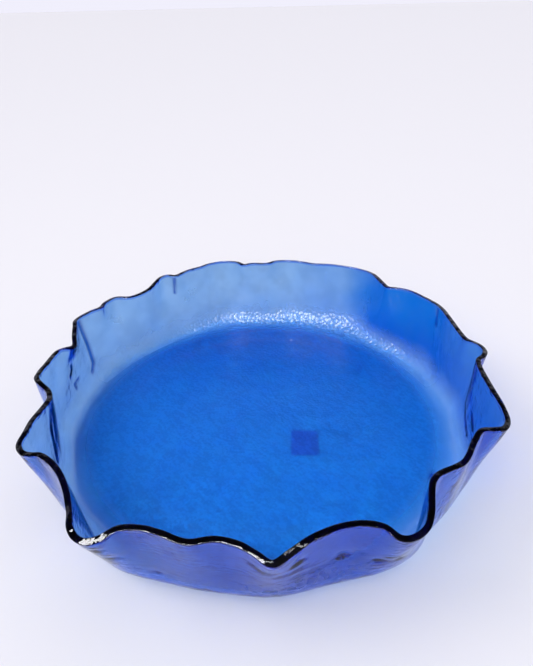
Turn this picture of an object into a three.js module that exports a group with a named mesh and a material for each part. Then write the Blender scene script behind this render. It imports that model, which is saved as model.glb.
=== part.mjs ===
// A ruffled dish of slumped art glass, with the small paper label stuck under its floor.
//
// The glass is one sheet of even thickness. Its flat floor turns up through a round corner into a
// wall, and the wall is folded into uneven lobes and hollows that fade out towards the corner.
// The floor is lifted a little inside a flat ring, and the dish stands on that ring.
//
// Millimetres, +z up. The dish stands on z = 0 with its front towards -y, and the middle of its
// outline, seen from above, is at the origin. Its parts are shaped round the centre of the floor
// and then moved there. Angles run anticlockwise from +x as seen from above.

import * as THREE from "three";

// Where the centre of the floor stands, because the lobes reach further on some sides.
const floorCentre = { x: -7, y: 6 };

// The sheet, measured along the middle of its thickness.
const glassThickness = 5;
const floorRadius = 195.5;
const cornerRadius = 26;
const sheetRise = 105.5; // from the edge of the floor to the rim, along the sheet
const plainLean = THREE.MathUtils.degToRad(82); // of a wall halfway between lobe and hollow
const ruffleFade = 0.8; // how the ruffles grow from the floor's edge to the rim; 1 would be evenly
const ruffleSpread = THREE.MathUtils.degToRad(6); // narrower folds than this don't reach the floor

// The underside: a flat ring to stand on, round a floor that is lifted clear of the table.
const ringInnerRadius = 168;
const liftedRadius = 150;
const floorLift = 1.2;

// The label under the floor.
const labelWidth = 28;
const labelLength = 37;
const labelThickness = 0.2;
const labelCorner = 1.5;
const labelGap = 0.3;
const labelPlace = { x: 46, y: -43 }; // from the centre of the floor
const labelTurn = THREE.MathUtils.degToRad(-2.5);

// How finely the faces are cut.
const stepsPerRimPoint = 2;
const cornerSteps = 3;
const wallSteps = 4;
const edgeSteps = 4;

// The rim seen from above, as [degrees, reach from the centre of the floor]: the tips of the
// lobes, the bottoms of the hollows between them, and the points where the edge bends on the way.
// Its height follows from its reach, because the sheet is equally long all round.
const rimOutline = [
  // left side: two lobes with a deep hollow between them
  [-176, 216], [-170, 220.5], [-167, 215], [-164, 208], [-160.5, 206.5], [-157, 212],
  [-152.5, 224], [-149.5, 231.5], [-147, 239], [-144.5, 239.5], [-142.5, 235], [-141, 229.5],
  [-137.5, 226], [-133.5, 226.5], [-128.5, 233],
  // front left lobe, the longest
  [-125, 242], [-122.5, 251], [-120.5, 254.5], [-118.5, 254], [-116.5, 249], [-114.5, 239],
  [-111, 233.5], [-107, 233], [-102, 235.5], [-97.5, 231], [-93.5, 233.5],
  // front centre lobe, a blunt point
  [-90.5, 240], [-88, 246.5], [-85, 240.5], [-81, 232.5], [-75.5, 228.5], [-71.5, 231], [-68.5, 238],
  // front right lobe
  [-67, 248], [-65, 251], [-62, 249.5], [-59.5, 242.5], [-57, 232.5], [-54.5, 225],
  [-52, 223], [-45.5, 229], [-38.5, 225.5],
  // right side lobe, then the fold where the edge doubles back
  [-34.5, 226.5], [-32.5, 235], [-30.5, 242], [-28, 243], [-24.5, 238], [-19, 228], [-9.5, 219.5],
  [-6.5, 221], [-4.5, 228], [-2, 232], [0.5, 229.5], [3, 220.5], [7, 219], [15, 223],
  // back right lobes
  [22.5, 229.5], [28.5, 228], [34.5, 225.5], [38, 218.5], [40.5, 213.5], [44, 219], [47.5, 228],
  [51.5, 238.5], [57.5, 242.5], [64.5, 235.5], [70.5, 227], [75.5, 231], [80.5, 232],
  // back, nearly straight with two nicks
  [84, 228], [86.5, 219.5], [92.5, 219.5], [95.5, 217.5], [98, 229.5], [102.5, 239.5], [107, 236],
  [110.5, 227.5], [115.5, 223.5], [121, 217],
  // back left: a raised lobe, a long hollow, and the corner before the left side
  [123, 224.5], [125.5, 223.5], [128.5, 215.5], [132.5, 207], [137.5, 204.5], [141.5, 207.5],
  [144.5, 218], [148.5, 219], [151.5, 215.5], [155.5, 220], [161, 223], [164, 216.5],
  [168.5, 208], [174, 200.5], [177, 210.5],
];

// The lean of a wall that turns up round the corner and then runs straight to a rim at this
// reach. A further reach means a flatter wall, so halving the interval finds it.
function leanForReach(reach) {
  let flat = THREE.MathUtils.degToRad(30);
  let steep = THREE.MathUtils.degToRad(130);
  for (let halving = 0; halving < 40; halving += 1) {
    const lean = (flat + steep) / 2;
    if (straightWall(lean, sheetRise).reach > reach) {
      flat = lean;
    } else {
      steep = lean;
    }
  }
  return flat;
}

// A point on a wall with no ruffles in it, at a distance along the sheet from the floor's edge.
function straightWall(lean, distance) {
  const turn = Math.min(distance / cornerRadius, lean);
  const beyond = Math.max(distance - cornerRadius * lean, 0);
  return {
    reach: floorRadius + cornerRadius * Math.sin(turn) + beyond * Math.cos(lean),
    height: cornerRadius * (1 - Math.cos(turn)) + beyond * Math.sin(lean),
  };
}

// Points evenly spread between those of the outline, as { angle, reach, height, width } in radians
// and millimetres. The height is above the middle of the floor sheet, and the width is the angle
// that the point stands for.
function smoothRim() {
  const corners = rimOutline.map(([degrees, reach]) => {
    const angle = THREE.MathUtils.degToRad(degrees);
    return new THREE.Vector3(reach * Math.cos(angle), reach * Math.sin(angle), 0);
  });
  const curve = new THREE.CatmullRomCurve3(corners, true, "centripetal");
  const points = curve.getPoints(corners.length * stepsPerRimPoint).slice(0, -1);
  return points.map((point, index) => {
    const before = points.at(index - 1);
    const after = points[(index + 1) % points.length];
    const reach = Math.hypot(point.x, point.y);
    return {
      angle: Math.atan2(point.y, point.x),
      reach,
      height: straightWall(leanForReach(reach), sheetRise).height,
      width: before.angleTo(after) / 2,
    };
  });
}

function ringPoint(angle, reach, height) {
  return new THREE.Vector3(reach * Math.cos(angle), reach * Math.sin(angle), height);
}

function floorRing(rim, reach) {
  const lift = floorLift * (1 - THREE.MathUtils.smoothstep(reach, liftedRadius, ringInnerRadius));
  return rim.map(({ angle }) => ringPoint(angle, reach, lift));
}

// How far the rim stands out from a plain one near this angle, averaged over a spread of angles.
function ruffleNear(rim, angle, spread) {
  const plainTop = straightWall(plainLean, sheetRise);
  const total = { weight: 0, reach: 0, height: 0 };
  for (const point of rim) {
    const apart = Math.asin(Math.sin((point.angle - angle) / 2)) * 2;
    const weight = point.width * Math.exp(-0.5 * (apart / spread) ** 2);
    total.weight += weight;
    total.reach += weight * (point.reach - plainTop.reach);
    total.height += weight * (point.height - plainTop.height);
  }
  return { reach: total.reach / total.weight, height: total.height / total.weight };
}

// Up the wall, each ring moves further from the plain wall towards the ruffled rim, and the
// narrow folds come in last.
function wallRing(rim, distance) {
  const plain = straightWall(plainLean, distance);
  const share = (distance / sheetRise) ** ruffleFade;
  const spread = ruffleSpread * (1 - distance / sheetRise);
  return rim.map(({ angle }) => {
    const ruffle = ruffleNear(rim, angle, spread);
    const reach = plain.reach + share * ruffle.reach;
    return ringPoint(angle, reach, plain.height + share ** 2 * ruffle.height);
  });
}

// The middle of the sheet, as level rings on the floor and rippled rings up the wall.
function middleOfSheet(rim) {
  const floorRings = [liftedRadius, ringInnerRadius, floorRadius].map((r) => floorRing(rim, r));
  const cornerLength = cornerRadius * plainLean;
  const wallLength = sheetRise - glassThickness / 2 - cornerLength;
  const wallRings = [];
  for (let step = 1; step <= cornerSteps; step += 1) {
    wallRings.push(wallRing(rim, (cornerLength * step) / cornerSteps));
  }
  for (let step = 1; step <= wallSteps; step += 1) {
    wallRings.push(wallRing(rim, cornerLength + (wallLength * step) / wallSteps));
  }
  return { rings: [...floorRings, ...wallRings], levelRings: floorRings.length };
}

// A ring moved off the middle of the sheet, towards the inside of the dish and towards the rim.
function offsetRing({ rings, levelRings }, row, inwardBy, rimwardBy = 0) {
  const count = rings[row].length;
  const lower = rings[Math.max(row - 1, 0)];
  const upper = rings[Math.min(row + 1, rings.length - 1)];
  return rings[row].map((point, column) => {
    if (row < levelRings) {
      return point.clone().add(new THREE.Vector3(0, 0, inwardBy));
    }
    const before = rings[row][(column + count - 1) % count];
    const after = rings[row][(column + 1) % count];
    const rimward = upper[column].clone().sub(lower[column]).normalize();
    const inward = rimward.clone().cross(after.clone().sub(before)).normalize();
    return point.clone().addScaledVector(inward, inwardBy).addScaledVector(rimward, rimwardBy);
  });
}

// All the rings of the closed sheet in order: out along the inside, over the rounded edge and
// back along the outside.
function skinRings() {
  const middle = middleOfSheet(smoothRim());
  const half = glassThickness / 2;
  const lastRow = middle.rings.length - 1;
  const inside = middle.rings.map((ring, row) => offsetRing(middle, row, half));
  const outside = middle.rings.map((ring, row) => offsetRing(middle, row, -half));
  const edge = [];
  for (let step = 1; step < edgeSteps; step += 1) {
    const turn = (Math.PI * step) / edgeSteps;
    edge.push(offsetRing(middle, lastRow, half * Math.cos(turn), half * Math.sin(turn)));
  }
  return [...inside, ...edge, ...outside.reverse()];
}

// Joins rings of equally many points into one closed skin, with a point in the middle of the
// first ring and of the last.
function closedSkin(rings) {
  const count = rings[0].length;
  const points = rings.flat();
  const firstCentre = points.push(new THREE.Vector3(0, 0, rings[0][0].z)) - 1;
  const lastCentre = points.push(new THREE.Vector3(0, 0, rings.at(-1)[0].z)) - 1;
  const lastStart = (rings.length - 1) * count;
  const faces = [];
  for (let column = 0; column < count; column += 1) {
    const next = (column + 1) % count;
    faces.push(firstCentre, column, next);
    faces.push(lastCentre, lastStart + next, lastStart + column);
    for (let start = 0; start < lastStart; start += count) {
      const [a, b] = [start + column, start + next];
      faces.push(a, a + count, b + count, a, b + count, b);
    }
  }
  const skin = new THREE.BufferGeometry().setFromPoints(points);
  skin.setIndex(faces);
  return skin;
}

function makeGlassBowl() {
  const skin = closedSkin(skinRings());
  skin.translate(0, 0, glassThickness / 2);
  skin.computeVertexNormals();
  const glass = new THREE.MeshStandardMaterial({
    color: 0x1f63c9,
    roughness: 0.08,
    metalness: 0,
    transparent: true,
    opacity: 0.6,
  });
  const mesh = new THREE.Mesh(skin, glass);
  mesh.name = "glass_bowl";
  return mesh;
}

function makeLabel() {
  const [x, y] = [labelWidth / 2, labelLength / 2];
  const [innerX, innerY] = [x - labelCorner, y - labelCorner];
  const outline = new THREE.Shape();
  outline.absarc(innerX, innerY, labelCorner, 0, Math.PI / 2);
  outline.absarc(-innerX, innerY, labelCorner, Math.PI / 2, Math.PI);
  outline.absarc(-innerX, -innerY, labelCorner, Math.PI, 1.5 * Math.PI);
  outline.absarc(innerX, -innerY, labelCorner, 1.5 * Math.PI, 2 * Math.PI);
  const sheet = new THREE.ExtrudeGeometry(outline, {
    depth: labelThickness,
    bevelEnabled: false,
    curveSegments: 3,
  });
  const paper = new THREE.MeshStandardMaterial({ color: 0xd99bc4, roughness: 0.6, metalness: 0 });
  const mesh = new THREE.Mesh(sheet, paper);
  mesh.name = "label";
  mesh.position.set(labelPlace.x, labelPlace.y, floorLift - labelGap - labelThickness);
  mesh.rotation.z = labelTurn;
  return mesh;
}

const dish = new THREE.Group();
dish.add(makeGlassBowl(), makeLabel());
dish.position.set(floorCentre.x, floorCentre.y, 0);

export default dish;
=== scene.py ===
"""A ruffled bowl of cobalt blue art glass on a pale floor.

The bowl is one closed sheet of glass, built ring by ring from the same rim and the same wall as
the CAD part but much finer, then given the ripples, creases and dimples of slumped glass.
The label is a thin sheet of paper under the lifted floor of the bowl.

Metres, +z up, in the frame of the CAD part, with the front of the bowl towards -y.
"""

import math

import bpy
import numpy as np
from mathutils import Matrix, Vector, noise


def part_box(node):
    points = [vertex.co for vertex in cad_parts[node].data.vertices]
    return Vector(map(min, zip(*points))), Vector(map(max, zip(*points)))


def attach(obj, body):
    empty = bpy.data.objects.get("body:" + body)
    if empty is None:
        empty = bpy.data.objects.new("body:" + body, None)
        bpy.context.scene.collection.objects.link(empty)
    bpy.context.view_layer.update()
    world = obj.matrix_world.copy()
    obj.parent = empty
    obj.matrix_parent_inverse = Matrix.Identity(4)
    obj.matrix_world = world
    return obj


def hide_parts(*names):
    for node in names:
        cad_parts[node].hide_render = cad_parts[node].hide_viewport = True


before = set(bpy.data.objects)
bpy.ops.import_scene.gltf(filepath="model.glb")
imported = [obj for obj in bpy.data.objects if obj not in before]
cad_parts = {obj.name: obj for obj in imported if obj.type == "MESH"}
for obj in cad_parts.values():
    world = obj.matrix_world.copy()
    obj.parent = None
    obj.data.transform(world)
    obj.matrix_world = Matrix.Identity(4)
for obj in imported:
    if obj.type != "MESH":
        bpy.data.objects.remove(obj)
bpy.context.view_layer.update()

MM = 0.001

# The sheet of glass, as in the CAD part.
FLOOR_CENTRE = Vector((-0.007, 0.006, 0))
GLASS_THICKNESS = 0.005
FLOOR_RADIUS = 0.1955
CORNER_RADIUS = 0.026
SHEET_RISE = 0.1055
PLAIN_LEAN = math.radians(82)
RUFFLE_FADE = 0.8
RUFFLE_SPREAD = math.radians(6)
RING_INNER_RADIUS = 0.168
LIFTED_RADIUS = 0.150
FLOOR_LIFT = 0.0012

# A notch of the left side whose ruffle fades sooner down the wall, because it is averaged over a
# wider spread there: where the notch is, how wide, and how much is added to the spread.
NOTCH_ANGLE = math.radians(172)
NOTCH_WIDTH = math.radians(9)
NOTCH_EXTRA = 2.5

# How finely the glass is cut: the rim's curve, its columns, which halve again and again towards
# the middle of the floor, and the rings from there to the rim.
CURVE_STEPS = 24
COLUMNS = 768
FEWEST_COLUMNS = 12
FLOOR_STEP = 0.0048
CORNER_STEPS = 14
WALL_STEPS = 28
EDGE_STEPS = 8

# The rim is cut nearly square, with a soft corner inside and a crisper one outside. These are the
# powers of its curve, which would be a half circle at 1.
INNER_CORNER = 0.38
OUTER_CORNER = 0.14
EDGE_HEIGHT = 0.0017

# Where the outer corner of the rim is ground away, as [degrees, degrees wide, millimetres deep],
# and how far down the outside that reaches.
BEVELS = [[-85.5, 2.6, 2.8], [-117.5, 1.4, 2.0], [-124.5, 1.2, 1.6]]
BEVEL_FADE = 0.010

# The rim seen from above, as in the CAD part: [degrees, millimetres from the floor's centre].
RIM_OUTLINE = [
    # left side: two lobes with a deep hollow between them
    [-176, 216], [-170, 220.5], [-167, 215], [-164, 208], [-160.5, 206.5], [-157, 212],
    [-152.5, 224], [-149.5, 231.5], [-147, 239], [-144.5, 239.5], [-142.5, 235], [-141, 229.5],
    [-137.5, 226], [-133.5, 226.5], [-128.5, 233],
    # front left lobe, the longest
    [-125, 242], [-122.5, 251], [-120.5, 254.5], [-118.5, 254], [-116.5, 249], [-114.5, 239],
    [-111, 233.5], [-107, 233], [-102, 235.5], [-97.5, 231], [-93.5, 233.5],
    # front centre lobe, a blunt point
    [-90.5, 240], [-88, 246.5], [-85, 240.5], [-81, 232.5], [-75.5, 228.5], [-71.5, 231],
    [-68.5, 238],
    # front right lobe
    [-67, 248], [-65, 251], [-62, 249.5], [-59.5, 242.5], [-57, 232.5], [-54.5, 225],
    [-52, 223], [-45.5, 229], [-38.5, 225.5],
    # right side lobe, then the fold where the edge doubles back
    [-34.5, 226.5], [-32.5, 235], [-30.5, 242], [-28, 243], [-24.5, 238], [-19, 228],
    [-9.5, 219.5], [-6.5, 221], [-4.5, 228], [-2, 232], [0.5, 229.5], [3, 220.5], [7, 219],
    [15, 223],
    # back right lobes
    [22.5, 229.5], [28.5, 228], [34.5, 225.5], [38, 218.5], [40.5, 213.5], [44, 219], [47.5, 228],
    [51.5, 238.5], [57.5, 242.5], [64.5, 235.5], [70.5, 227], [75.5, 231], [80.5, 232],
    # back, nearly straight with two nicks
    [84, 228], [86.5, 219.5], [92.5, 219.5], [95.5, 217.5], [98, 229.5], [102.5, 239.5],
    [107, 236], [110.5, 227.5], [115.5, 223.5], [121, 217],
    # back left: a raised lobe, a long hollow, and the corner before the left side
    [123, 224.5], [125.5, 223.5], [128.5, 215.5], [132.5, 207], [137.5, 204.5], [141.5, 207.5],
    [144.5, 218], [148.5, 219], [151.5, 215.5], [155.5, 220], [161, 223], [164, 216.5],
    [168.5, 208], [174, 200.5], [177, 210.5],
]

# The label, as in the CAD part.
LABEL_SIZE = (0.028, 0.037)
LABEL_CORNER = 0.0015
LABEL_CORNER_STEPS = 4
LABEL_PLACE = FLOOR_CENTRE + Vector((0.046, -0.043, 0))
LABEL_TURN = math.radians(-2.5)


# ---------------------------------------------------------------- the rim and the wall

def smooth_step(value, start, end):
    """Turns smoothly from 0 to 1 as the value goes from start to end."""
    t = np.clip((value - start) / (end - start), 0, 1)
    return t * t * (3 - 2 * t)


def fade_round(angle, place, width):
    """1 at a place round the rim, fading to 0 over about a width to each side, in radians."""
    return np.exp(2 * (np.cos(angle - place) - 1) / width**2)


def straight_wall(lean, distance):
    """Reach and height of a wall with no ruffles, at a distance along it from the floor's edge."""
    turn = np.minimum(distance / CORNER_RADIUS, lean)
    beyond = np.maximum(distance - CORNER_RADIUS * lean, 0)
    reach = FLOOR_RADIUS + CORNER_RADIUS * np.sin(turn) + beyond * np.cos(lean)
    height = CORNER_RADIUS * (1 - np.cos(turn)) + beyond * np.sin(lean)
    return reach, height


def lean_for_reach(reach):
    """The lean of a straight wall whose rim has this reach, found by halving the interval."""
    flat = np.full_like(reach, math.radians(30))
    steep = np.full_like(reach, math.radians(130))
    for _ in range(40):
        lean = (flat + steep) / 2
        too_far = straight_wall(lean, SHEET_RISE)[0] > reach
        flat = np.where(too_far, lean, flat)
        steep = np.where(too_far, steep, lean)
    return flat


def closed_curve(corners, steps):
    """A centripetal Catmull-Rom curve through the corners, in this many steps between two of them.

    Its slopes at the two ends of each stretch are leave and arrive.
    """
    before, start = np.roll(corners, 1, axis=0), corners
    end, after = np.roll(corners, -1, axis=0), np.roll(corners, -2, axis=0)

    def knot(a, b):
        return np.sqrt(np.linalg.norm(b - a, axis=1))[:, None]

    k0, k1, k2 = knot(before, start), knot(start, end), knot(end, after)
    leave = ((start - before) / k0 - (end - before) / (k0 + k1) + (end - start) / k1) * k1
    arrive = ((end - start) / k1 - (after - start) / (k1 + k2) + (after - end) / k2) * k1
    stretches = []
    for t in np.arange(steps) / steps:
        stretches.append(
            start * (2 * t**3 - 3 * t**2 + 1) + leave * (t**3 - 2 * t**2 + t)
            + end * (3 * t**2 - 2 * t**3) + arrive * (t**3 - t**2)
        )
    return np.stack(stretches, axis=1).reshape(-1, corners.shape[1])


def even_points(loop, count):
    """This many points at even distances along a closed loop."""
    ends = np.vstack([loop, loop[:1]])
    along = np.concatenate([[0], np.cumsum(np.linalg.norm(np.diff(ends, axis=0), axis=1))])
    wanted = np.arange(count) * along[-1] / count
    return np.stack([np.interp(wanted, along, ends[:, axis]) for axis in range(2)], axis=1)


class Rim:
    """The rim's columns: their angles, and how far each stands out from and above a plain rim."""

    def __init__(self):
        angles = np.radians([degrees for degrees, _ in RIM_OUTLINE])
        reaches = np.array([millimetres * MM for _, millimetres in RIM_OUTLINE])
        corners = np.stack([reaches * np.cos(angles), reaches * np.sin(angles)], axis=1)
        points = even_points(closed_curve(corners, CURVE_STEPS), COLUMNS)
        self.angle = np.unwrap(np.arctan2(points[:, 1], points[:, 0]))
        turn = 2 * math.pi
        self.width = (np.roll(self.angle, -1) - np.roll(self.angle, 1) + turn / 2) % turn - turn / 2
        reach = np.hypot(points[:, 0], points[:, 1])
        height = straight_wall(lean_for_reach(reach), SHEET_RISE)[1]
        plain_reach, plain_height = straight_wall(PLAIN_LEAN, SHEET_RISE)
        self.out = reach - plain_reach
        self.up = height - plain_height

    def ruffle(self, spread):
        """Out and up, averaged over a spread of angles, which is wider in the soft notch."""
        in_notch = fade_round(self.angle, NOTCH_ANGLE, NOTCH_WIDTH)
        spread = (spread * (1 + NOTCH_EXTRA * in_notch))[:, None]
        apart = np.sin((self.angle[:, None] - self.angle[None, :]) / 2)
        weight = self.width[None, :] * np.exp(-0.5 * (2 * np.arcsin(apart) / spread) ** 2)
        weight /= weight.sum(axis=1, keepdims=True)
        return weight @ self.out, weight @ self.up

    def bevel(self):
        """How much of the outer corner is ground away at each column."""
        drop = np.zeros(COLUMNS)
        for degrees, wide, deep in BEVELS:
            drop += deep * MM * fade_round(self.angle, math.radians(degrees), math.radians(wide))
        return drop


def ring(angle, reach, height):
    """A ring of points at these angles. Its reach and height may each be one number or many."""
    reach = np.broadcast_to(reach, angle.shape)
    height = np.broadcast_to(height, angle.shape)
    return np.stack([reach * np.cos(angle), reach * np.sin(angle), height], axis=1)


def wall_ring(rim, distance):
    """A ring of the corner or the wall: a plain bowl's, ruffled more and more towards the rim."""
    plain_reach, plain_height = straight_wall(PLAIN_LEAN, distance)
    share = (distance / SHEET_RISE) ** RUFFLE_FADE
    out, up = rim.ruffle(RUFFLE_SPREAD * (1 - distance / SHEET_RISE))
    return ring(rim.angle, plain_reach + share * out, plain_height + share**2 * up)


def floor_ring(rim, reach):
    """A level ring of the floor, with all the columns at the floor's edge and fewer further in."""
    full_reach = FLOOR_RADIUS * 0.999
    skip = 1
    while reach * skip < full_reach and COLUMNS // skip > FEWEST_COLUMNS:
        skip *= 2
    lift = FLOOR_LIFT * (1 - smooth_step(reach, LIFTED_RADIUS, RING_INNER_RADIUS))
    return ring(rim.angle[::skip], reach, lift)


def edge_rings(rim_ring, inward, rimward, bevel):
    """The rings over the edge at the rim, from its inside to its outside."""
    rings = []
    for step in range(1, EDGE_STEPS):
        turn = math.pi * step / EDGE_STEPS
        power = INNER_CORNER if 2 * step < EDGE_STEPS else OUTER_CORNER
        across = math.copysign(abs(math.cos(turn)) ** power, math.cos(turn))
        beyond = EDGE_HEIGHT * math.sin(turn) ** power - bevel * (1 - across) / 2
        rings.append(rim_ring + GLASS_THICKNESS / 2 * across * inward + beyond * rimward)
    return rings


def skin_rings():
    """The rings of the closed sheet: out along the inside, over the edge, back along the outside.

    With them come the distance of each along the sheet from the floor's edge, less than 0 on the
    floor, and how many of them are on the inside.
    """
    rim = Rim()
    half = GLASS_THICKNESS / 2
    floor_count = round(FLOOR_RADIUS / FLOOR_STEP)
    floor_reaches = [FLOOR_RADIUS * (i + 1) / floor_count for i in range(floor_count)]
    floor = [floor_ring(rim, reach) for reach in floor_reaches]
    corner_length = CORNER_RADIUS * PLAIN_LEAN
    wall_length = SHEET_RISE - half - corner_length
    distances = [corner_length * (i + 1) / CORNER_STEPS for i in range(CORNER_STEPS)]
    distances += [corner_length + wall_length * (i + 1) / WALL_STEPS for i in range(WALL_STEPS)]
    wall = np.array([floor[-1]] + [wall_ring(rim, distance) for distance in distances])
    rimward = np.gradient(wall, axis=0)
    rimward /= np.linalg.norm(rimward, axis=2, keepdims=True)
    inward = np.cross(rimward, np.roll(wall, -1, axis=1) - np.roll(wall, 1, axis=1))
    inward /= np.linalg.norm(inward, axis=2, keepdims=True)
    up = np.array([0, 0, half])
    inside = [level + up for level in floor] + list(wall + inward * half)[1:]
    outside = [level - up for level in floor] + list(wall - inward * half)[1:]
    bevel = rim.bevel()[:, None]
    for level, distance in enumerate(distances, start=len(floor)):
        near_rim = max(0, 1 - (distances[-1] - distance) / BEVEL_FADE)
        outside[level] = outside[level] - near_rim * bevel * rimward[-1]
    edge = edge_rings(wall[-1], inward[-1], rimward[-1], bevel)
    rings = inside + edge + outside[::-1]
    along = [reach - FLOOR_RADIUS for reach in floor_reaches] + distances
    along = along + [distances[-1]] * len(edge) + along[::-1]
    return rings, along, len(inside)


def faces_between(first, count, after, next_count):
    """Faces from one ring to the next, which has as many points, twice as many, or half."""
    faces = []
    if count == next_count:
        for j in range(count):
            k = (j + 1) % count
            faces.append((first + j, after + j, after + k, first + k))
    elif next_count == 2 * count:
        for j in range(count):
            a, b = first + j, first + (j + 1) % count
            c, d, e = after + 2 * j, after + 2 * j + 1, after + (2 * j + 2) % next_count
            faces += [(a, c, d), (a, d, b), (b, d, e)]
    else:
        for j in range(next_count):
            a, b, c = first + 2 * j, first + 2 * j + 1, first + (2 * j + 2) % count
            d, e = after + j, after + (j + 1) % next_count
            faces += [(a, d, b), (b, d, e), (b, e, c)]
    return faces


def closed_skin(rings):
    """Points and faces of one closed skin through the rings, with a point in each end's middle."""
    starts = np.cumsum([0] + [len(level) for level in rings])
    points = np.vstack(rings + [[[0, 0, rings[0][0][2]], [0, 0, rings[-1][0][2]]]])
    faces = []
    for index, (level, next_level) in enumerate(zip(rings, rings[1:])):
        faces += faces_between(starts[index], len(level), starts[index + 1], len(next_level))
    top = starts[-1]
    bottom = starts[-1] + 1
    last = starts[-2]
    for j in range(len(rings[0])):
        faces.append((top, j, (j + 1) % len(rings[0])))
    for j in range(len(rings[-1])):
        faces.append((bottom, last + (j + 1) % len(rings[-1]), last + j))
    points += np.array([*FLOOR_CENTRE.xy, GLASS_THICKNESS / 2])
    return points, faces


# ---------------------------------------------------------------- ripples of the slumped glass

# Creases that the folding of the hot sheet left, as lines of [degrees, millimetres up the sheet
# from the floor's edge], each with its width and depth in millimetres.
CREASES = [
    # the sharp folds of the left side
    ([[160.6, 103], [160.2, 60], [160.2, 45], [162, 37]], 3.6, 1.6),
    ([[-157.7, 97], [-156, 80], [-155.6, 66], [-154.6, 45]], 2.0, 0.8),
    ([[-158.8, 97], [-158, 80], [-157.2, 62]], 1.8, 0.6),
    # the fold of the right side
    ([[-5.3, 99], [-7.7, 76], [-7.2, 55], [-11, 44], [-16.8, 36]], 2.0, 0.9),
    ([[-15.3, 60], [-18.8, 52]], 2.0, 0.8),
    # short ones under the nicks of the back
    ([[22, 103], [20.5, 83]], 2.2, 0.8),
    ([[121.5, 103], [121.8, 80]], 1.8, 0.6),
    # two small drag marks on the left wall and one on the floor
    ([[175.3, 81], [174.6, 74], [176, 67]], 1.9, 0.9),
    ([[170.5, 50], [173.7, 50], [172.7, 41]], 1.9, 0.9),
    ([[-31.8, -7], [-30, -5], [-28, -7]], 1.6, 0.5),
]

# Creases of the outside, under the blunt point of the front.
OUTSIDE_CREASES = [
    ([[-91.5, 91], [-90, 88], [-87.5, 86]], 2.6, 0.7),
    ([[-87, 79], [-85, 76], [-82.5, 76]], 2.6, 0.6),
    ([[-84, 66], [-81, 63], [-77, 64]], 3.0, 0.5),
]

# Dimples on the outside of the front wall, as degrees, millimetres up the sheet, then their width,
# height and depth in millimetres, and how much deeper blue the glass looks there. The last two are
# only deeper blue.
DIMPLES = [
    (-74.6, 69, 7.0, 4.6, 2.4, 1.0),
    (-71.6, 72, 4.0, 3.0, 1.0, 0.3),
    (-83.6, 87, 5.0, 4.0, 1.8, 0.6),
    (-68.3, 62, 5.0, 3.2, 1.5, 0.6),
    (-64.5, 62, 4.0, 2.4, 1.0, 0.4),
    (-117.8, 90, 4.5, 2.0, 0.9, 0.3),
    (-116.3, 71, 5.0, 2.2, 0.9, 0.3),
    (-110.0, 48, 5.0, 2.4, 0.9, 0.4),
    (-110.5, 97, 9.0, 6.5, 0.0, 1.0),
    (-101.5, 100, 9.0, 3.0, 0.0, 0.8),
]

# Crinkled patches on the inside of the wall, as degrees, millimetres up the sheet, then their width
# and height in millimetres.
HAMMERED_PATCHES = [
    (116, 70, 14, 14),
    (147, 72, 12, 16),
    (50, 60, 12, 22),
    (-17, 40, 8, 14),
]

# A rough patch on the outside of the front and a belly under the front right lobe, in the same way,
# and how far each stands out, in millimetres.
ROUGH_PATCH = (-81, 48, 50, 9)
ROUGH_DEPTH = 0.5
BELLY = (-57, 46, 20, 20)
BELLY_DEPTH = 4.5

# The heights of the waves all over the sheet, in millimetres: broad ones and fine ones.
WAVE_HEIGHT = 0.22
FINE_OUTSIDE = 0.04
FINE_INSIDE = 0.10

# Painted shade in the creases: how far it reaches beyond a crease's middle, and how dark it is
# inside and outside.
CREASE_SPREAD = 1.5
INSIDE_DARKNESS = 1.0
OUTSIDE_DARKNESS = 0.12

# The crinkled band round the corner between floor and wall. Each pair is where it starts to fade in
# and where it has: up the sheet from below and from above, and to the back (y) and the right (x).
BAND_FROM_BELOW = (-0.004, 0.008)
BAND_FROM_ABOVE = (0.050, 0.028)
BAND_Y = (-0.04, 0.16)
BAND_X = (-0.08, 0.0)
BAND_AT_LEFT = 0.7

# Painted shadow: the wall of the right side is tinted deeper blue where the bowl's blue shadow is
# seen through it, as pairs of the same kind: faintly at first, then fully to the right, in
# millimetres up the sheet, and behind the tip of the front right lobe.
RIGHT_FAINT_X = (0.03, 0.10)
RIGHT_FULL_X = (0.105, 0.150)
RIGHT_FAINT = 0.3
RIGHT_UP = (16, 48)
RIGHT_Y = (-0.125, -0.095)
RIGHT_UNEVEN = 0.012
RIGHT_UNEVEN_UP = 6
# The painted shadow is a little paler beyond the fold.
FOLD_X = (0.195, 0.215)
FOLD_Y = (0.08, 0.03)
FOLD_PALER = 0.25

# Where the front wall looks a little deeper blue, as pairs again: from its left, right and back.
FRONT_X_FROM_LEFT = (-0.10, 0.0)
FRONT_X_FROM_RIGHT = (0.13, 0.09)
FRONT_Y = (-0.15, -0.20)
FRONT_DEPTH = 0.35

# The reach at which millimetres round the sheet are measured.
WALL_REACH = FLOOR_RADIUS + CORNER_RADIUS


def waves(points, size, seed):
    """Smooth noise from about -1 to 1 at each point, with bumps about this size, in metres."""
    shift = Vector((17.3 * seed, 31.7 * seed, 7.9 * seed))
    return np.array([noise.noise(Vector(point) / size + shift) for point in points])


def unrolled(degrees, along):
    """A place on the sheet as millimetres round it and up it."""
    return np.array([np.radians(degrees) * WALL_REACH / MM, along])


def distance_to_line(spots, line):
    """How far each spot of the unrolled sheet is from a line through places on it."""
    nearest = np.full(len(spots), np.inf)
    corners = [unrolled(*place) for place in line]
    for start, end in zip(corners, corners[1:]):
        stretch = end - start
        share = np.clip((spots - start) @ stretch / (stretch @ stretch), 0, 1)
        apart = spots - start - share[:, None] * stretch
        nearest = np.minimum(nearest, np.linalg.norm(apart, axis=1))
    return nearest


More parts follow.
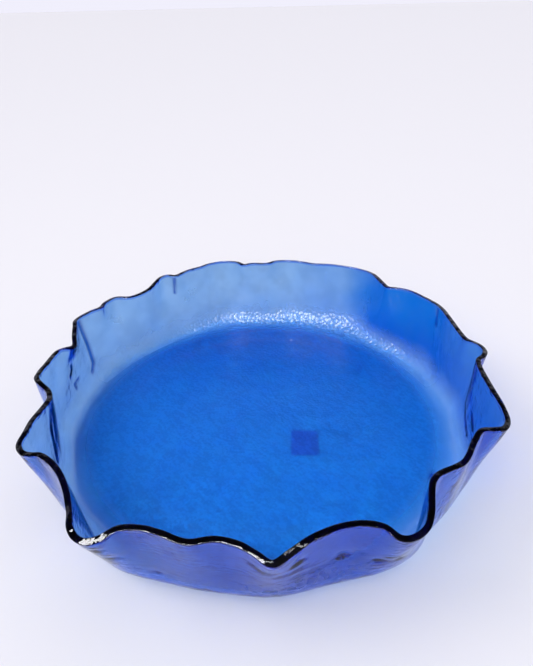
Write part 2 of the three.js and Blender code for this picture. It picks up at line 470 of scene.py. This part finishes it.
def spot(spots, degrees, along, width, height):
    """A smooth round spot on the sheet: 1 in its middle, fading to 0."""
    apart = (spots - unrolled(degrees, along)) / (width, height)
    return np.exp(-(apart**2).sum(axis=1))


def painted_shadow_right(points, along):
    """Painted shadow: where the wall of the right side is tinted deeper blue for the bowl's shadow
    seen through it, with an uneven edge.
    """
    x, y = points[:, 0], points[:, 1]
    uneven = waves(points, 0.03, 4)
    uneven_x = x + RIGHT_UNEVEN * uneven
    across = RIGHT_FAINT * smooth_step(uneven_x, *RIGHT_FAINT_X)
    across += (1 - RIGHT_FAINT) * smooth_step(uneven_x, *RIGHT_FULL_X)
    up = smooth_step(along / MM + RIGHT_UNEVEN_UP * uneven, *RIGHT_UP)
    behind_tip = smooth_step(y, *RIGHT_Y)
    beyond_fold = 1 - FOLD_PALER * smooth_step(x, *FOLD_X) * smooth_step(y, *FOLD_Y)
    cloudy = 0.97 + 0.03 * waves(points, 0.018, 5)
    return across * up * behind_tip * beyond_fold * cloudy


def deeper_front(points):
    """Where the front wall looks a little deeper blue, from its middle to the right."""
    x, y = points[:, 0], points[:, 1]
    across = smooth_step(x, *FRONT_X_FROM_LEFT) * smooth_step(x, *FRONT_X_FROM_RIGHT)
    return FRONT_DEPTH * across * smooth_step(y, *FRONT_Y)


def hammered_inside(points, spots, along):
    """Where the inside is crinkled: the band round the corner at the back, and a few patches."""
    uneven = along + 0.012 * waves(points, 0.012, 7)
    band = smooth_step(along, *BAND_FROM_BELOW) * smooth_step(uneven, *BAND_FROM_ABOVE)
    at_right = smooth_step(points[:, 0], *BAND_X)
    band *= smooth_step(points[:, 1], *BAND_Y) * (BAND_AT_LEFT + (1 - BAND_AT_LEFT) * at_right)
    patches = [spot(spots, *patch) for patch in HAMMERED_PATCHES]
    patchy = smooth_step(waves(points, 0.007, 6), -0.1, 0.3)
    return np.maximum(band, patchy * np.max(patches, axis=0))


def mesh_vectors(items, name):
    """One vector for each of a mesh's points, as rows of three numbers."""
    values = np.empty(len(items) * 3, np.float32)
    items.foreach_get(name, values)
    return values.reshape(-1, 3)


def ripple(mesh, along, inside):
    """Moves the skin in and out along its normals: waves all over, then the marks of folding."""
    points = mesh_vectors(mesh.vertices, "co")
    normals = mesh_vectors(mesh.vertex_normals, "vector")
    degrees = np.degrees(np.arctan2(points[:, 1] - FLOOR_CENTRE.y, points[:, 0] - FLOOR_CENTRE.x))
    spots = unrolled(degrees, along / MM).T
    outside = 1 - inside
    rough = spot(spots, *ROUGH_PATCH)
    rise = WAVE_HEIGHT * waves(points, 0.022, 1)
    rise += np.where(inside, FINE_INSIDE, FINE_OUTSIDE) * waves(points, 0.009, 2)
    rise += ROUGH_DEPTH * rough * waves(points, 0.006, 3) * outside
    rise += BELLY_DEPTH * spot(spots, *BELLY) * np.where(inside, -1, 1)
    # The painted shade in the creases, for the material to read.
    crease_shade = np.zeros(len(points))
    # Painted shadow of the right wall, with the deeper blue of the front wall and, below, of the
    # dimples.
    deep = np.maximum(painted_shadow_right(points, along), deeper_front(points))
    inside_creases = (CREASES, inside, INSIDE_DARKNESS)
    outside_creases = (OUTSIDE_CREASES, outside, OUTSIDE_DARKNESS)
    for lines, skin, darkness in (inside_creases, outside_creases):
        for line, width, depth in lines:
            groove = np.exp(-((distance_to_line(spots, line) / width) ** 2)) * skin
            rise -= depth * groove
            crease_shade = np.maximum(crease_shade, darkness * np.minimum(CREASE_SPREAD * groove, 1))
    for *place, depth, blueness in DIMPLES:
        dimple = spot(spots, *place) * outside
        rise -= depth * dimple
        deep = np.maximum(deep, blueness * dimple)
    points += normals * (rise * MM)[:, None]
    points = np.clip(points, *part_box("glass_bowl")).astype(np.float32)
    mesh.vertices.foreach_set("co", points.ravel())
    mesh.update()
    rough_outside = rough * smooth_step(waves(points, 0.007, 6), -0.2, 0.3)
    hammered = np.where(inside, hammered_inside(points, spots, along), rough_outside)
    # The painted shade of the creases, the painted shadow of the right wall with the deeper blue
    # spots, and the crinkles go to the material.
    add_attribute(mesh, "crease_shade", crease_shade)
    add_attribute(mesh, "deep", deep)
    add_attribute(mesh, "hammered", hammered)


# ---------------------------------------------------------------- materials

class Shading:
    """A material's nodes, with short ways to add one and feed its inputs with values or sockets."""

    def __init__(self, name):
        self.material = bpy.data.materials.new(name)
        self.material.use_nodes = True
        self.tree = self.material.node_tree
        self.surface = self.tree.nodes["Principled BSDF"]

    def feed(self, socket, value):
        if isinstance(value, bpy.types.NodeSocket):
            self.tree.links.new(value, socket)
        else:
            socket.default_value = value

    def set(self, **inputs):
        for name, value in inputs.items():
            self.feed(self.surface.inputs[name.replace("_", " ")], value)

    def math(self, operation, *values):
        node = self.tree.nodes.new("ShaderNodeMath")
        node.operation = operation
        for socket, value in zip(node.inputs, values):
            self.feed(socket, value)
        return node.outputs[0]

    def place(self, stretch=(1, 1, 1), turn=0.0):
        """Places on the object, in metres, stretched along each axis and then turned about z."""
        coordinates = self.tree.nodes.new("ShaderNodeTexCoord")
        mapping = self.tree.nodes.new("ShaderNodeMapping")
        mapping.vector_type = "TEXTURE"
        mapping.inputs["Scale"].default_value = [1 / factor for factor in stretch]
        mapping.inputs["Rotation"].default_value = (0, 0, turn)
        self.feed(mapping.inputs["Vector"], coordinates.outputs["Object"])
        return mapping.outputs[0]

    def noise(self, size, detail=2, stretch=(1, 1, 1), turn=0.0):
        """Noise from 0 to 1 with spots about this size, in metres, longer where stretch is less."""
        node = self.tree.nodes.new("ShaderNodeTexNoise")
        node.inputs["Scale"].default_value = 1 / size
        node.inputs["Detail"].default_value = detail
        self.feed(node.inputs["Vector"], self.place(stretch, turn))
        return node.outputs["Fac"]

    def number(self, name):
        """A number that the mesh holds for each point."""
        node = self.tree.nodes.new("ShaderNodeAttribute")
        node.attribute_name = name
        return node.outputs["Fac"]

    def cells(self, size, stretch=(1, 1, 1)):
        """Rounded cells about as wide as size: 0 in the middle of each, more towards its border."""
        node = self.tree.nodes.new("ShaderNodeTexVoronoi")
        node.inputs["Scale"].default_value = 1 / size
        self.feed(node.inputs["Vector"], self.place(stretch))
        return self.math("POWER", node.outputs["Distance"], 2)

    def back(self):
        """How far to the back on the object, in metres."""
        split = self.tree.nodes.new("ShaderNodeSeparateXYZ")
        self.feed(split.inputs[0], self.place())
        return split.outputs["Y"]

    def ramp(self, value, start, end, low=0.0, high=1.0):
        """Turns smoothly from low to high as the value goes from start to end."""
        node = self.tree.nodes.new("ShaderNodeMapRange")
        node.interpolation_type = "SMOOTHSTEP"
        for socket, number in zip(node.inputs, (value, start, end, low, high)):
            self.feed(socket, number)
        return node.outputs["Result"]

    def mix(self, factor, first, second):
        """A colour between two others."""
        node = self.tree.nodes.new("ShaderNodeMix")
        node.data_type = "RGBA"
        self.feed(node.inputs["Factor"], factor)
        for socket, colour in zip((node.inputs[6], node.inputs[7]), (first, second)):
            self.feed(socket, (*colour, 1) if isinstance(colour, tuple) else colour)
        return node.outputs[2]

    def shade(self, colour, factor):
        """The colour with each of its channels multiplied."""
        node = self.tree.nodes.new("ShaderNodeVectorMath")
        node.operation = "SCALE"
        self.feed(node.inputs[0], colour)
        node.inputs["Scale"].default_value = factor
        return node.outputs[0]

    def bump(self, millimetres):
        node = self.tree.nodes.new("ShaderNodeBump")
        node.inputs["Distance"].default_value = MM
        self.feed(node.inputs["Height"], millimetres)
        return node.outputs[0]


# The colour of the light that the glass lets through, and how densely the glass is coloured.
GLASS_ABSORBS = (0.055, 0.55, 0.965, 1)
GLASS_DENSITY = 260
GLASS_IOR = 1.46
CLEAR_ROUGHNESS = 0.05
FROSTED_ROUGHNESS = 0.29

# The tints that its places add to that.
WALL_TINT = (0.90, 0.87, 0.85)
# The corner is a little lighter than the wall: painted light that lifts the shade under its edge.
# Towards the back it is darker.
CORNER_PAINTED_LIGHT_TINT = (0.92, 0.93, 0.86)
CORNER_BACK_TINT = (0.72, 0.84, 0.82)
FLOOR_TINT = (0.28, 0.86, 0.925)
FLOOR_BACK_TINT = (0.03, 0.745, 0.89)
# Painted shadow: the right wall is tinted deeper blue where the bowl's blue shadow is seen through
# it. The same tint also gives the front wall and the dimples a deeper blue.
SHADOW_AND_DEEP_BLUE_TINT = (0.0, 0.33, 0.74)
RIM_TINT = (0.22, 0.32, 0.70)
# Painted shade in the creases.
CREASE_SHADE_TINT = (0.004, 0.045, 0.30)

# Where one look of the glass turns into the next, as pairs of metres up the sheet from the floor's
# edge, which are less than 0 on the floor, and one pair of metres to the back.
TINTED_FLOOR = (0.008, -0.018)
FROSTED_FLOOR = (0.006, -0.022)
PEBBLED_FLOOR = (0.01, -0.01)
TINTED_WALL = (0.005, 0.035)
AT_RIM = (0.1015, 0.103)
TINTED_BACK = (0.02, 0.17)

# The depths of the fine relief, in millimetres.
PEBBLE_DEPTH = 0.4
CELL_DEPTH = -1.1
PEEL_DEPTH = 0.35
STREAK_DEPTH = 0.2
CHIP_DEPTH = 2.2


def glass_tint(glass, along):
    """The colour that each place adds to that of the glass itself, with painted shade in the
    creases, a painted shadow on the right wall and painted light in the corner.
    """
    on_floor = glass.ramp(along, *TINTED_FLOOR)
    up_wall = glass.ramp(along, *TINTED_WALL)
    at_rim = glass.ramp(along, *AT_RIM)
    to_back = glass.ramp(glass.back(), *TINTED_BACK)
    floor = glass.mix(to_back, FLOOR_TINT, FLOOR_BACK_TINT)
    even_grain = glass.noise(0.0030, 1)
    slanted_grain = glass.noise(0.0042, 1, (1, 0.4, 1), math.radians(40))
    grain = glass.ramp(glass.math("ADD", even_grain, slanted_grain), 0.80, 1.20)
    floor = glass.mix(grain, glass.shade(floor, 0.76), floor)
    mottle = glass.ramp(glass.noise(0.025, 3), 0.35, 0.65)
    wall = glass.mix(mottle, glass.shade(WALL_TINT, 0.93), glass.shade(WALL_TINT, 1.05))
    # Painted light in the corner, lifting the shade under its edge; darker towards the back.
    corner = glass.mix(to_back, CORNER_PAINTED_LIGHT_TINT, CORNER_BACK_TINT)
    wall = glass.mix(up_wall, corner, wall)
    # Painted shadow on the right wall, and deeper blue on the front wall and in the dimples.
    wall = glass.mix(glass.number("deep"), wall, SHADOW_AND_DEEP_BLUE_TINT)
    tint = glass.mix(on_floor, wall, floor)
    # Painted shade in the creases.
    tint = glass.mix(glass.number("crease_shade"), tint, CREASE_SHADE_TINT)
    return glass.mix(at_rim, tint, RIM_TINT)


def glass_relief(glass, along):
    """The fine relief of the glass, in millimetres."""
    cells = glass.math("MULTIPLY", glass.cells(0.0046, (1, 1, 1.2)), CELL_DEPTH)
    crinkles = glass.math("ADD", cells, glass.noise(0.009, 2))
    crinkles = glass.math("MULTIPLY", crinkles, glass.number("hammered"))
    pebble_depth = glass.ramp(along, *PEBBLED_FLOOR, 0.0, PEBBLE_DEPTH)
    pebbles = glass.math("MULTIPLY", glass.noise(0.0028, 2), pebble_depth)
    peel = glass.math("MULTIPLY", glass.noise(0.012, 2, (1, 1, 0.5)), PEEL_DEPTH)
    outside = glass.math("SUBTRACT", 1, glass.number("inside"))
    streaks = glass.math("MULTIPLY", glass.noise(0.009, 2, (1, 1, 3)), outside)
    streaks = glass.math("MULTIPLY", streaks, STREAK_DEPTH)
    chip_depth = glass.ramp(along, *AT_RIM, 0.0, CHIP_DEPTH)
    chips = glass.math("MULTIPLY", glass.math("SUBTRACT", glass.noise(0.011, 2), 0.5), chip_depth)
    fine = glass.math("ADD", glass.math("ADD", peel, streaks), chips)
    return glass.math("ADD", glass.math("ADD", pebbles, crinkles), fine)


def glass_material():
    glass = Shading("cobalt_glass")
    along = glass.number("along")
    tint = glass_tint(glass, along)
    height = glass_relief(glass, along)
    on_floor = glass.ramp(along, *FROSTED_FLOOR)
    frosted = glass.math("MAXIMUM", on_floor, glass.number("hammered"))
    glass.set(
        Base_Color=tint,
        Roughness=glass.ramp(frosted, 0.0, 0.5, CLEAR_ROUGHNESS, FROSTED_ROUGHNESS),
        IOR=GLASS_IOR,
        Transmission_Weight=1.0,
        Normal=glass.bump(height),
    )
    absorption = glass.tree.nodes.new("ShaderNodeVolumeAbsorption")
    absorption.inputs["Color"].default_value = GLASS_ABSORBS
    absorption.inputs["Density"].default_value = GLASS_DENSITY
    output = glass.tree.nodes["Material Output"]
    glass.feed(output.inputs["Volume"], absorption.outputs[0])
    return glass.material


# The mauve of the label's paper, which differs a little from fibre to fibre.
PAPER_DARK = (0.80, 0.34, 0.60)
PAPER_LIGHT = (0.90, 0.42, 0.70)


def label_material():
    paper = Shading("label_paper")
    fibres = paper.math("MULTIPLY", paper.noise(0.0008, 3), 0.03)
    paper.set(
        Base_Color=paper.mix(paper.noise(0.004, 4), PAPER_DARK, PAPER_LIGHT),
        Roughness=0.7,
        Normal=paper.bump(fibres),
    )
    return paper.material


def floor_material():
    card = Shading("pale_floor")
    card.set(Base_Color=(0.80, 0.80, 0.82, 1), Roughness=0.9)
    return card.material


# ---------------------------------------------------------------- pieces

def make_piece(name, points, faces, material):
    """A smooth piece of the scene with one material."""
    mesh = bpy.data.meshes.new(name)
    mesh.from_pydata([tuple(point) for point in points], [], faces)
    mesh.shade_smooth()
    mesh.materials.append(material)
    piece = bpy.data.objects.new(name, mesh)
    bpy.context.scene.collection.objects.link(piece)
    return piece


def add_attribute(mesh, name, values):
    """A number for each point of the mesh, for its materials to read."""
    attribute = mesh.attributes.new(name, "FLOAT", "POINT")
    attribute.data.foreach_set("value", np.asarray(values, np.float32))


def make_glass():
    """The bowl's one closed skin of glass."""
    rings, along, inside_rings = skin_rings()
    points, faces = closed_skin(rings)
    piece = make_piece("ruffled_glass", points, faces, glass_material())
    counts = [len(level) for level in rings]
    is_inside = np.arange(len(rings)) < inside_rings
    along = np.append(np.repeat(along, counts), [along[0], along[-1]])
    inside = np.append(np.repeat(is_inside, counts), [1, 0])
    add_attribute(piece.data, "along", along)
    add_attribute(piece.data, "inside", inside)
    ripple(piece.data, along, inside)
    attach(piece, "root")
    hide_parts("glass_bowl")
    return piece


def make_label():
    """The label, as thick as the CAD part's: a rectangle of paper with round corners."""
    low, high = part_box("label")
    corner_x = LABEL_SIZE[0] / 2 - LABEL_CORNER
    corner_y = LABEL_SIZE[1] / 2 - LABEL_CORNER
    outline = []
    for x, y, start in ((1, 1, 0), (-1, 1, 90), (-1, -1, 180), (1, -1, 270)):
        for step in range(LABEL_CORNER_STEPS + 1):
            turn = math.radians(start + 90 * step / LABEL_CORNER_STEPS)
            outline.append((
                x * corner_x + LABEL_CORNER * math.cos(turn),
                y * corner_y + LABEL_CORNER * math.sin(turn),
            ))
    count = len(outline)
    points = [Vector((x, y, z)) for z in (low.z, high.z) for x, y in outline]
    place = Matrix.Translation(LABEL_PLACE) @ Matrix.Rotation(LABEL_TURN, 4, "Z")
    points = [place @ point for point in points]
    faces = [tuple(reversed(range(count))), tuple(range(count, 2 * count))]
    for j in range(count):
        k = (j + 1) % count
        faces.append((j, k, count + k, count + j))
    piece = make_piece("paper_label", points, faces, label_material())
    piece.data.shade_flat()
    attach(piece, "root")
    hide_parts("label")
    return piece


# ---------------------------------------------------------------- stage

# The pale card under the bowl, just clear of it.
CARD_HALF = 60
CARD_BELOW = 0.0002

# The light from all round, its strength for the glass and the card, and for the camera.
STUDIO_COLOUR = (0.86, 0.85, 0.96, 1)
STUDIO_STRENGTH = 0.9
SEEN_STRENGTH = 1.02

# What the glass mirrors: a bright backdrop low down behind, and little above it or in front. The
# pairs are where it fades, as the parts of the direction to it along +y and +z.
BACKDROP_STRENGTH = 0.7
ABOVE_STRENGTH = 0.03
FRONT_STRENGTH = 0.15
BACKDROP_Y = (-0.3, 0.1)
BACKDROP_Z = (0.46, 0.60)

# Windows that light the glass and hardly anything else, as name, place, size and watts. They face
# the origin.
WINDOWS = [
    ("window", (-0.56, -0.72, 1.3), (0.78, 1.35), 71),
    ("second_window", (0.28, -0.75, 1.3), (0.3, 0.5), 4),
]

# Far soft lights, as name, azimuth anticlockwise from +x, elevation, strength and spread. The
# angles are in degrees.
SUNS = [
    ("left_light", 175, 40, 0.75, 30),
    ("front_light", -105, 42, 0.95, 60),
]
SUN_COLOUR = (1, 0.97, 0.9)

# The camera looks to the back and down, and is rolled a little.
CAMERA_PLACE = (0.0015, -0.462, 0.400)
CAMERA_DOWN = 31.5
CAMERA_ROLL = -1.35
LENS = 29.19
SENSOR = 36


def add_floor():
    x = y = CARD_HALF
    corners = [(-x, -y, 0), (x, -y, 0), (x, y, 0), (-x, y, 0)]
    mesh = bpy.data.meshes.new("floor")
    mesh.from_pydata(corners, [], [(0, 1, 2, 3)])
    mesh.materials.append(floor_material())
    piece = bpy.data.objects.new("floor", mesh)
    bpy.context.scene.collection.objects.link(piece)
    piece.location.z = -CARD_BELOW


def facing(direction):
    """The rotation of a light that shines in a direction."""
    return direction.to_track_quat("-Z", "Y").to_euler()


def add_window(name, place, size, power):
    data = bpy.data.lights.new(name, "AREA")
    data.shape = "RECTANGLE"
    data.size, data.size_y = size
    data.energy = power
    light = bpy.data.objects.new(name, data)
    light.location = place
    light.rotation_euler = facing(-Vector(place))
    light.visible_diffuse = False
    light.visible_transmission = False
    bpy.context.scene.collection.objects.link(light)


def add_sun(name, azimuth, elevation, strength, spread):
    data = bpy.data.lights.new(name, "SUN")
    data.energy = strength
    data.color = SUN_COLOUR
    data.angle = math.radians(spread)
    light = bpy.data.objects.new(name, data)
    turn, rise = math.radians(azimuth), math.radians(elevation)
    level = math.cos(rise)
    towards = Vector((math.cos(turn) * level, math.sin(turn) * level, math.sin(rise)))
    light.rotation_euler = facing(-towards)
    light.visible_glossy = False
    bpy.context.scene.collection.objects.link(light)


class Sky:
    """The world's nodes, with short ways to add one."""

    def __init__(self, name):
        self.world = bpy.data.worlds.new(name)
        self.world.use_nodes = True
        self.nodes = self.world.node_tree.nodes
        self.links = self.world.node_tree.links

    def fade(self, value, start, end, low, high):
        """Turns evenly from low to high as the value goes from start to end."""
        node = self.nodes.new("ShaderNodeMapRange")
        for socket, number in zip(list(node.inputs)[1:], (start, end, low, high)):
            socket.default_value = number
        self.links.new(value, node.inputs["Value"])
        return node.outputs["Result"]

    def mix(self, factor, first, second):
        """A number between two others, of which the second is a socket."""
        node = self.nodes.new("ShaderNodeMix")
        self.links.new(factor, node.inputs["Factor"])
        if isinstance(first, float):
            node.inputs["A"].default_value = first
        else:
            self.links.new(first, node.inputs["A"])
        self.links.new(second, node.inputs["B"])
        return node.outputs["Result"]


def add_world():
    """Pale light from all round, but mirrors show a bright backdrop behind and little else."""
    sky = Sky("studio")
    place = sky.nodes.new("ShaderNodeTexCoord")
    split = sky.nodes.new("ShaderNodeSeparateXYZ")
    sky.links.new(place.outputs["Generated"], split.inputs[0])
    behind = sky.fade(split.outputs["Y"], *BACKDROP_Y, 0.0, 1.0)
    backdrop = sky.fade(split.outputs["Z"], *BACKDROP_Z, BACKDROP_STRENGTH, ABOVE_STRENGTH)
    reflected = sky.mix(behind, FRONT_STRENGTH, backdrop)
    path = sky.nodes.new("ShaderNodeLightPath")
    # Mirrored rays are glossy, and so are the rays that bend on their way through the glass.
    mirrored = sky.nodes.new("ShaderNodeMath")
    mirrored.operation = "SUBTRACT"
    mirrored.use_clamp = True
    sky.links.new(path.outputs["Is Glossy Ray"], mirrored.inputs[0])
    sky.links.new(path.outputs["Is Transmission Ray"], mirrored.inputs[1])
    straight = sky.fade(path.outputs["Is Camera Ray"], 0.0, 1.0, STUDIO_STRENGTH, SEEN_STRENGTH)
    strength = sky.mix(mirrored.outputs[0], straight, reflected)
    background = sky.nodes["Background"]
    background.inputs["Color"].default_value = STUDIO_COLOUR
    sky.links.new(strength, background.inputs["Strength"])
    bpy.context.scene.world = sky.world


def add_camera():
    data = bpy.data.cameras.new("camera")
    data.lens = LENS
    data.sensor_width = SENSOR
    camera = bpy.data.objects.new("camera", data)
    camera.matrix_world = (
        Matrix.Translation(CAMERA_PLACE)
        @ Matrix.Rotation(math.radians(90 - CAMERA_DOWN), 4, "X")
        @ Matrix.Rotation(math.radians(CAMERA_ROLL), 4, "Z")
    )
    bpy.context.scene.collection.objects.link(camera)
    bpy.context.scene.camera = camera


add_camera()
add_world()
add_floor()
for window in WINDOWS:
    add_window(*window)
for sun in SUNS:
    add_sun(*sun)
make_glass()
make_label()
bpy.context.scene.view_settings.view_transform = "Standard"
